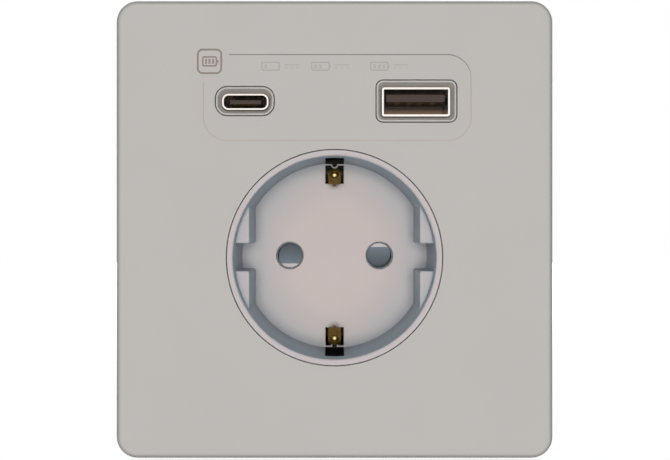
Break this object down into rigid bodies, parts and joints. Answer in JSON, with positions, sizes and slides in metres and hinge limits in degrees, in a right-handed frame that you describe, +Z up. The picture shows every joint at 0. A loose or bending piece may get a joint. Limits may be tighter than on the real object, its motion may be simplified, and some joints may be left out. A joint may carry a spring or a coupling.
{
  "type": "usb wall socket",
  "caption": "Flush wall socket with a round earthed plug well, sprung shutter and two USB charging ports in a plain rounded cover plate.",
  "frame": {"origin": "middle of the cover plate on the wall plane, at the back rim of the plate", "axes": "+Z up, +X to the right of someone facing the socket, +Y into the wall; the face looks along -Y"},
  "size_m": [0.084, 0.0455, 0.088],
  "materials": {
    "face_plastic": "satin moulded polycarbonate, warm grey white",
    "shutter_plastic": "moulded blue grey acetal, satin",
    "inner_plastic": "moulded black polyamide, matte",
    "housing_plastic": "moulded black flame retardant polycarbonate, matte",
    "spring_steel": "drawn spring wire",
    "brass": "stamped and bent brass strip",
    "zinc_steel": "zinc plated steel",
    "galvanised_steel": "galvanised steel sheet",
    "port_steel": "nickel plated drawn steel",
    "port_plastic": "black moulded insulator",
    "gold_contact": "gold plated strip",
    "circuit_board": "green solder mask on glass epoxy",
    "chip_plastic": "black moulded epoxy",
    "ferrite": "sintered dark grey ferrite",
    "winding_tape": "yellow polyester tape over the winding",
    "capacitor_sleeve": "shrink sleeve on an aluminium can",
    "resistor_body": "glazed resistor body",
    "lead_insulation": "flexible vinyl insulation"
  },
  "bodies": {
    "socket": {"front_plate": "face_plastic", "socket_well": "face_plastic", "usb_carrier": "face_plastic", "shutter_keeper": "inner_plastic", "rear_housing": "housing_plastic", "shutter_spring": "spring_steel", "earth_strap": "brass", "live_contact": "brass", "neutral_contact": "brass", "live_terminal": "brass", "neutral_terminal": "brass", "earth_terminal": "brass", "terminal_screws": "zinc_steel", "frame_screws": "zinc_steel", "well_screws": "zinc_steel", "carrier_screws": "zinc_steel", "support_frame": "galvanised_steel", "usb_c_shell": "port_steel", "usb_a_shell": "port_steel", "usb_c_tongue": "port_plastic", "usb_a_tongue": "port_plastic", "usb_c_contacts": "gold_contact", "usb_a_contacts": "gold_contact", "usb_board": "circuit_board", "power_board": "circuit_board", "usb_controller": "chip_plastic", "power_controller": "chip_plastic", "bridge_rectifier": "chip_plastic", "transformer_core": "ferrite", "transformer_winding": "winding_tape", "input_capacitor": "capacitor_sleeve", "output_capacitor": "capacitor_sleeve", "fuse_resistor": "resistor_body", "usb_leads": "lead_insulation", "mains_leads": "lead_insulation"},
    "shutter": {"shutter": "shutter_plastic"}
  },
  "joints": [
    {"name": "shutter_turn", "type": "hinge", "parent": "socket", "child": "shutter", "pos_m": [0, 0.00965, -0.0054], "axis": [0, -1, 0], "range_deg": [0, 40], "stiffness_Nm_per_rad": 0.005, "springref_deg": -20.05, "deforming": ["shutter_spring"]}
  ]
}
